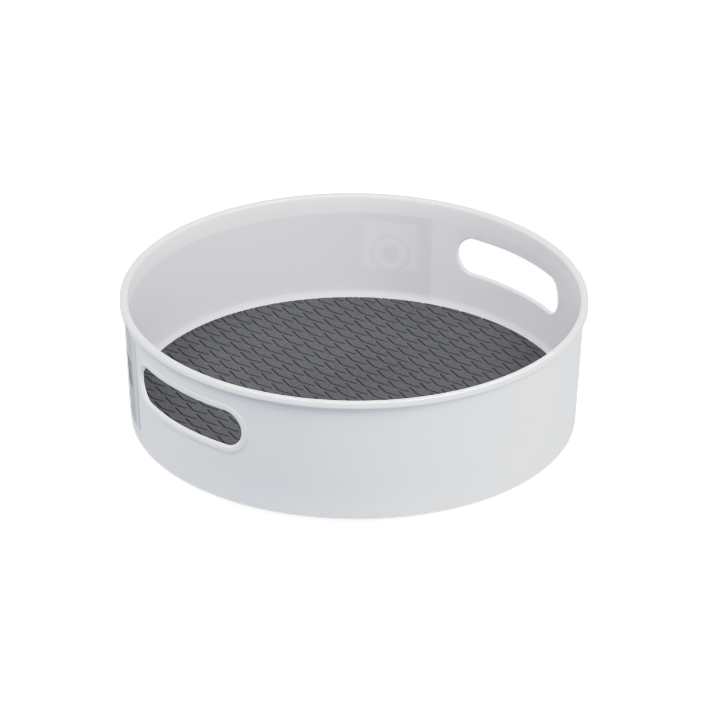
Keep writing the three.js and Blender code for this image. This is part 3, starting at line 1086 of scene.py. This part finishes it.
def makeBinFinish(settings):
    finish = newFinish("white_gloss_plastic", {
        "IOR": 1.5,
        "Subsurface Radius": (1.0, 0.97, 0.94),
        "Subsurface Scale": settings["depthOfGlow"],
    })
    colour = moulded(finish, settings)
    middle = (stickerShape["start"] + stickerShape["end"]) / 2
    half = (stickerShape["end"] - stickerShape["start"]) / 2
    x, y, z = axesOf(finish, spotOn(finish, turn=-middle))
    radius = lengthOf(finish, x, y)
    upright = maths(finish, "SUBTRACT", radius, maths(finish, "MULTIPLY", z, tan(binShape["draft"])))
    skinEnd, skinStart = (wallAt(0) - share * binShape["wall"] for share in settings["skinShare"])
    skin = between(finish, upright, skinStart, skinEnd)
    wallStart, wallEnd = (wallAt(binShape["skirt"]) - step for step in settings["wallFrom"])
    wall = between(finish, radius, wallStart, wallEnd, 0.0, 1.0)
    along = between(finish, maths(finish, "ARCTAN2", y, x), -half, half, 0.0, 1.0)
    up = between(finish, z, stickerShape["bottom"], stickerShape["top"], 0.0, 1.0)
    # Painted shade: where the sticker lies behind it, the inner skin of the wall is painted darker, with the
    # sticker's panel and disc marks in it
    panel = pictureBox(finish, along, up, "panel", settings["shadowPanelSoft"])
    paint = blendTones(finish, panel, settings["shadow"], settings["shadowPanel"])
    for mark in discMarks(finish, along, up, settings["shadowSoft"]):
        paint = blendTones(finish, mark, paint, settings["shadowMark"])
    softAlong, softUp = settings["showThroughShadeSoft"]
    # the area of that painted shade, on the inner wall only
    showThroughShade = both(finish, inside(finish, along, 0.5, 0.5, softAlong), inside(finish, up, 0.5, 0.49, softUp))
    give(finish, "Base Color", blendTones(finish, both(finish, showThroughShade, wall, skin), colour, paint))
    cornerStart, cornerEnd = (binShape["floorTop"] + rise for rise in settings["cornerRise"])
    corner = between(finish, z, cornerStart, cornerEnd)
    give(finish, "Subsurface Weight", between(finish, both(finish, corner, skin), 0.0, 1.0,
                                              settings["translucency"], settings["cornerTranslucency"]))
    return finish


rubber = {
    "dark": tone(71, 72, 75),
    "light": tone(79, 80, 83),
    "speckle": tone(94, 95, 98),
    "speckleScale": 620.0,
    "speckleSpread": (0.5, 0.68, 0.0, 0.7),     # noise from and to, and how much of the speckle that gives
    # painted shade and dirt at the bottoms of the strokes
    "groove": tone(43, 44, 46),
    "strokeTop": matHigh.z,
    "strokeShadeDepths": (0.5 * mm, 0.05 * mm),        # below its top, where the painted shade and dirt in a stroke are darkest and where they start
    "cloudScale": 14.0,
    "grainScale": 2400.0,
    "skinScale": 420.0,
    "grainDepth": 0.00006,
    "skinDepth": 0.00004,
    "gloss": (0.72, 0.86),
}


def makeRubberFinish(settings, name):
    finish = newFinish(name, {"IOR": 1.5, "Specular IOR Level": 0.3})
    colour = moulded(finish, settings)
    specks = noise(finish, spotOn(finish), settings["speckleScale"], 3, 0.7)
    speckle = between(finish, specks, *settings["speckleSpread"])
    colour = blendTones(finish, speckle, colour, settings["speckle"])
    # Painted shade and dirt: the strokes are painted darker toward their bottoms
    _, _, height = axesOf(finish, spotOn(finish))
    darkest, start = (settings["strokeTop"] - depth for depth in settings["strokeShadeDepths"])
    strokeShade = between(finish, height, darkest, start)
    give(finish, "Base Color", blendTones(finish, strokeShade, colour, settings["groove"]))
    return finish


sticker = {
    "ground": tone(206, 209, 200),
    "groundLow": tone(184, 192, 187),
    "margin": tone(236, 240, 242),
    "wood": tone(102, 87, 76),
    "woodLight": tone(142, 128, 116),
    "panel": tone(228, 230, 228),
    "mark": tone(120, 138, 140),
    "jar": tone(150, 166, 166),
    "marginWidth": 0.018,
    "cloudScale": 30.0,
    "cloudShare": 0.3,
    "lighterFrom": (0.5, 0.75),     # up the sticker, where its ground is fully light
    "woodScale": 60.0,
    "woodSpread": (0.35, 0.65),
    "fibreScale": 900.0,
    "fibreDepth": 0.000008,
    "waveScale": 120.0,
    "waveDepth": 0.00004,
    "gloss": (0.38, 0.5),
    "glow": 0.6,
    "glowDepth": 2 * mm,
}


def makeStickerFinish(colours):
    finish = newFinish("printed_film", {
        "IOR": 1.48,
        "Coat Weight": 0.35,
        "Coat Roughness": 0.25,
        "Subsurface Weight": colours["glow"],
        "Subsurface Radius": (1.0, 0.97, 0.94),
        "Subsurface Scale": colours["glowDepth"],
    })
    along, up, _ = axesOf(finish, add(finish, "UVMap", uv_map="UVMap").outputs["UV"])
    spot = spotOn(finish)
    cloud = maths(finish, "MULTIPLY", noise(finish, spot, colours["cloudScale"], 5), colours["cloudShare"])
    level = between(finish, maths(finish, "ADD", up, cloud), *colours["lighterFrom"], 0.0, 1.0, smoothly=True)
    colour = blendTones(finish, level, colours["groundLow"], colours["ground"])
    grain = noise(finish, spotOn(finish, scale=(1, 1, 9)), colours["woodScale"], 6, 0.65)
    streaks = between(finish, grain, *colours["woodSpread"], 0.0, 1.0)
    wood = blendTones(finish, streaks, colours["wood"], colours["woodLight"])
    colour = blendTones(finish, pictureBox(finish, along, up, "band"), colour, colours["jar"])
    soft = picture["soft"]
    for spotAlong, size in picture["jars"]:
        onShelf = (spotAlong, sum(picture["shelf"][1]) + size)
        away = distanceFrom(finish, along, up, onShelf)
        reach = size * (stickerShape["top"] - stickerShape["bottom"])
        inner = picture["jarInner"] * reach
        whole = between(finish, away, reach - soft, reach + soft)
        middle = between(finish, away, inner, inner + soft)
        colour = blendTones(finish, whole, colour, colours["panel"])
        colour = blendTones(finish, middle, colour, colours["jar"])
    colour = blendTones(finish, pictureBox(finish, along, up, "shelf"), colour, wood)
    colour = blendTones(finish, pictureBox(finish, along, up, "patch", picture["patchSoft"]), colour, wood)
    colour = blendTones(finish, pictureBox(finish, along, up, "panel"), colour, colours["panel"])
    for mark in discMarks(finish, along, up, soft):
        colour = blendTones(finish, mark, colour, colours["mark"])
    margin = between(finish, along, 1 - 2 * colours["marginWidth"], 1 - colours["marginWidth"], 0.0, 1.0)
    give(finish, "Base Color", blendTones(finish, margin, colour, colours["margin"]))
    fibre = noise(finish, spotOn(finish, scale=(1, 1, 4)), colours["fibreScale"], 4)
    give(finish, "Roughness", spread(finish, fibre, *colours["gloss"]))
    wave = noise(finish, spot, colours["waveScale"], 2)
    bumps(finish, [(wave, colours["waveDepth"]), (fibre, colours["fibreDepth"])])
    return finish


steel = {
    "dark": tone(150, 152, 156),
    "light": tone(196, 198, 202),
    "cloudScale": 90.0,
    "scratchScale": 800.0,
    "scratchTurn": 0.6,
    "scratchDepth": 0.000006,
    "dentScale": 300.0,
    "dentDepth": 0.00001,
}


def makeSteelFinish(settings, name, gloss, drawn):  # drawn squeezes the scratches along each axis
    finish = newFinish(name, {"Metallic": 1.0, "IOR": 2.5})
    spot = spotOn(finish)
    cloud = spread(finish, noise(finish, spot, settings["cloudScale"], 5))
    give(finish, "Base Color", blendTones(finish, cloud, settings["dark"], settings["light"]))
    turned = spotOn(finish, turn=settings["scratchTurn"], scale=drawn)
    scratches = noise(finish, turned, settings["scratchScale"], 4, 0.6)
    give(finish, "Roughness", spread(finish, scratches, *gloss))
    dents = noise(finish, spot, settings["dentScale"], 3)
    bumps(finish, [(dents, settings["dentDepth"]), (scratches, settings["scratchDepth"])])
    return finish


basePlastic = {
    **binPlastic,
    "dark": tone(216, 217, 221),
    "light": tone(224, 225, 228),
    "grainDepth": 0.00004,
    "gloss": (0.48, 0.6),
}
cagePlastic = {
    **binPlastic,
    "dark": tone(222, 218, 206),
    "light": tone(232, 229, 218),
    "gloss": (0.4, 0.5),
}
footRubber = {
    **rubber,
    "speckle": tone(70, 71, 74),
    "strokeTop": footLow.z,
    "dark": tone(52, 53, 56),
    "light": tone(62, 63, 66),
}


def makePlasticFinish(settings, name):
    finish = newFinish(name, {"IOR": 1.5})
    give(finish, "Base Color", moulded(finish, settings))
    return finish


finishes = {
    "bin_plastic": makeBinFinish(binPlastic),
    "mat_rubber": makeRubberFinish(rubber, "grey_mat_rubber"),
    "label_film": makeStickerFinish(sticker),
    "zinc_steel": makeSteelFinish(steel, "zinc_plate", (0.28, 0.42), (1, 1, 1)),
    "ball_steel": makeSteelFinish(steel, "polished_ball_steel", (0.08, 0.16), (1, 1, 6)),
    "base_plastic": makePlasticFinish(basePlastic, "base_white_plastic"),
    "cage_plastic": makePlasticFinish(cagePlastic, "cage_cream_plastic"),
    "foot_rubber": makeRubberFinish(footRubber, "dark_foot_rubber"),
}
print("finishes made")

# Every piece gets its finish, its body and the CAD node it stands for


def finishPiece(piece, body, node, slot):
    piece.data.materials.clear()
    piece.data.materials.append(finishes[slot])
    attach(piece, body)
    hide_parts(node)


finishPiece(turningBin, "tray", "tray_bin", "bin_plastic")
finishPiece(rubberMat, "tray", "nonslip_mat", "mat_rubber")
finishPiece(outerSticker, "tray", "outer_label", "label_film")
finishPiece(steelWasher, "tray", "pivot_washer", "zinc_steel")
finishPiece(panScrew, "tray", "pivot_screw", "zinc_steel")
finishPiece(basePlate, "base", "base_plate", "base_plastic")
finishPiece(ballCage, "cage", "ball_cage", "cage_plastic")
for i, foot in enumerate(rubberFeet, 1):
    finishPiece(foot, "base", f"foot_pad_{i:02d}", "foot_rubber")
for i, ball in enumerate(steelBalls, 1):
    finishPiece(ball, f"ball_{i:02d}", f"bearing_ball_{i:02d}", "ball_steel")

# Floor, sky and lamps

studio = {
    "floorRadius": 30.0,
    "floorSides": 64,
    "floorTone": tone(110, 110, 111),
    "floorDarker": 0.99,
    "grainScale": 12.0,
    "glowTone": (1, 1, 1, 1),
    "floorGlow": 1.45,
}
# Light from the sky, by the height of a direction from -1 to 1. Below the horizon it is a pale floor's.
lowLight = (0.68, 0.74, 0.8, 1)
noLight = (0, 0, 0, 1)
highLight = (0.67, 0.67, 0.67, 1)
skyBands = [
    (-1.0, lowLight), (-0.01, lowLight),
    (0.01, noLight), (0.6, noLight),
    (0.68, highLight), (1.0, highLight),
]
lamps = {
    "rightLow": {"azimuth": radians(-75), "elevation": radians(18), "power": 3.0},
    "right": {"azimuth": radians(-75), "elevation": radians(45), "power": 18.8},
    "rightHigh": {"azimuth": radians(-75), "elevation": radians(60), "power": 7.8},
    "left": {"azimuth": radians(-190), "elevation": radians(60), "power": 21.8},
}
# How bright light is shown: plainly up to a mid tone, then more gently, so that white edges don't burn out
whiteLevel = 1.6
brightness = [
    (0, 0), (0.3, 0.3), (0.55, 0.55), (0.7, 0.66), (0.85, 0.722), (1.05, 0.755), (1.3, 0.78), (1.6, 1),
]
lampDistance = 1.8
lampSize = 1.2


def makeFloor(settings):
    floor = startFrom(bpy.ops.mesh.primitive_circle_add, "pale_floor", vertices=settings["floorSides"],
                      radius=settings["floorRadius"], fill_type="NGON")
    objectMode()
    paint = newFinish("pale_floor_paint", {
        "Roughness": 0.9,
        "Specular IOR Level": 0.1,
        "Emission Color": settings["glowTone"],
        "Emission Strength": settings["floorGlow"],
    })
    grain = noise(paint, spotOn(paint), settings["grainScale"], 3)
    darker = (*(settings["floorDarker"] * share for share in settings["floorTone"][:3]), 1)
    give(paint, "Base Color", blendTones(paint, grain, darker, settings["floorTone"]))
    floor.data.materials.append(paint)
    # The sky below lights the piece in the floor's place
    floor.visible_diffuse = floor.visible_glossy = floor.visible_shadow = False


def makeSky(bands):
    sky = bpy.data.worlds.new("sky")
    bpy.context.scene.world = sky
    sky.use_nodes = True
    nodes, links = sky.node_tree.nodes, sky.node_tree.links
    place = nodes.new("ShaderNodeSeparateXYZ")
    links.new(nodes.new("ShaderNodeTexCoord").outputs["Generated"], place.inputs["Vector"])
    rise = nodes.new("ShaderNodeMapRange")
    rise.inputs["From Min"].default_value = -1
    links.new(place.outputs["Z"], rise.inputs["Value"])
    ramp = nodes.new("ShaderNodeValToRGB")
    links.new(rise.outputs["Result"], ramp.inputs["Fac"])
    links.new(ramp.outputs["Color"], nodes["Background"].inputs["Color"])
    elements = ramp.color_ramp.elements
    for _ in bands[2:]:
        elements.new(0.5)
    for element, (height, colour) in zip(elements, bands):
        element.position = (height + 1) / 2
        element.color = colour


def addLamp(name, settings):
    light = bpy.data.lights.new(name, "AREA")
    light.shape = "DISK"
    light.size = lampSize
    light.energy = settings["power"]
    lamp = bpy.data.objects.new(name, light)
    bpy.context.collection.objects.link(lamp)
    away = wayOut(settings["azimuth"], settings["elevation"], lampDistance)
    lamp.location = away
    lamp.rotation_euler = (-away).to_track_quat("-Z", "Y").to_euler()


def setBrightness(white, points):
    view = bpy.context.scene.view_settings
    view.view_transform = "Standard"
    view.use_curve_mapping = True
    mapping = view.curve_mapping
    mapping.white_level = (white, white, white)
    curve = mapping.curves[3]     # for red, green and blue together
    for light, shown in points[1:-1]:     # the first and last are there from the start
        curve.points.new(light / white, shown)
    for point in curve.points:
        point.handle_type = "AUTO_CLAMPED"
    mapping.update()


makeFloor(studio)
makeSky(skyBands)
for name, settings in lamps.items():
    addLamp(name, settings)
setBrightness(whiteLevel, brightness)
print("studio made")
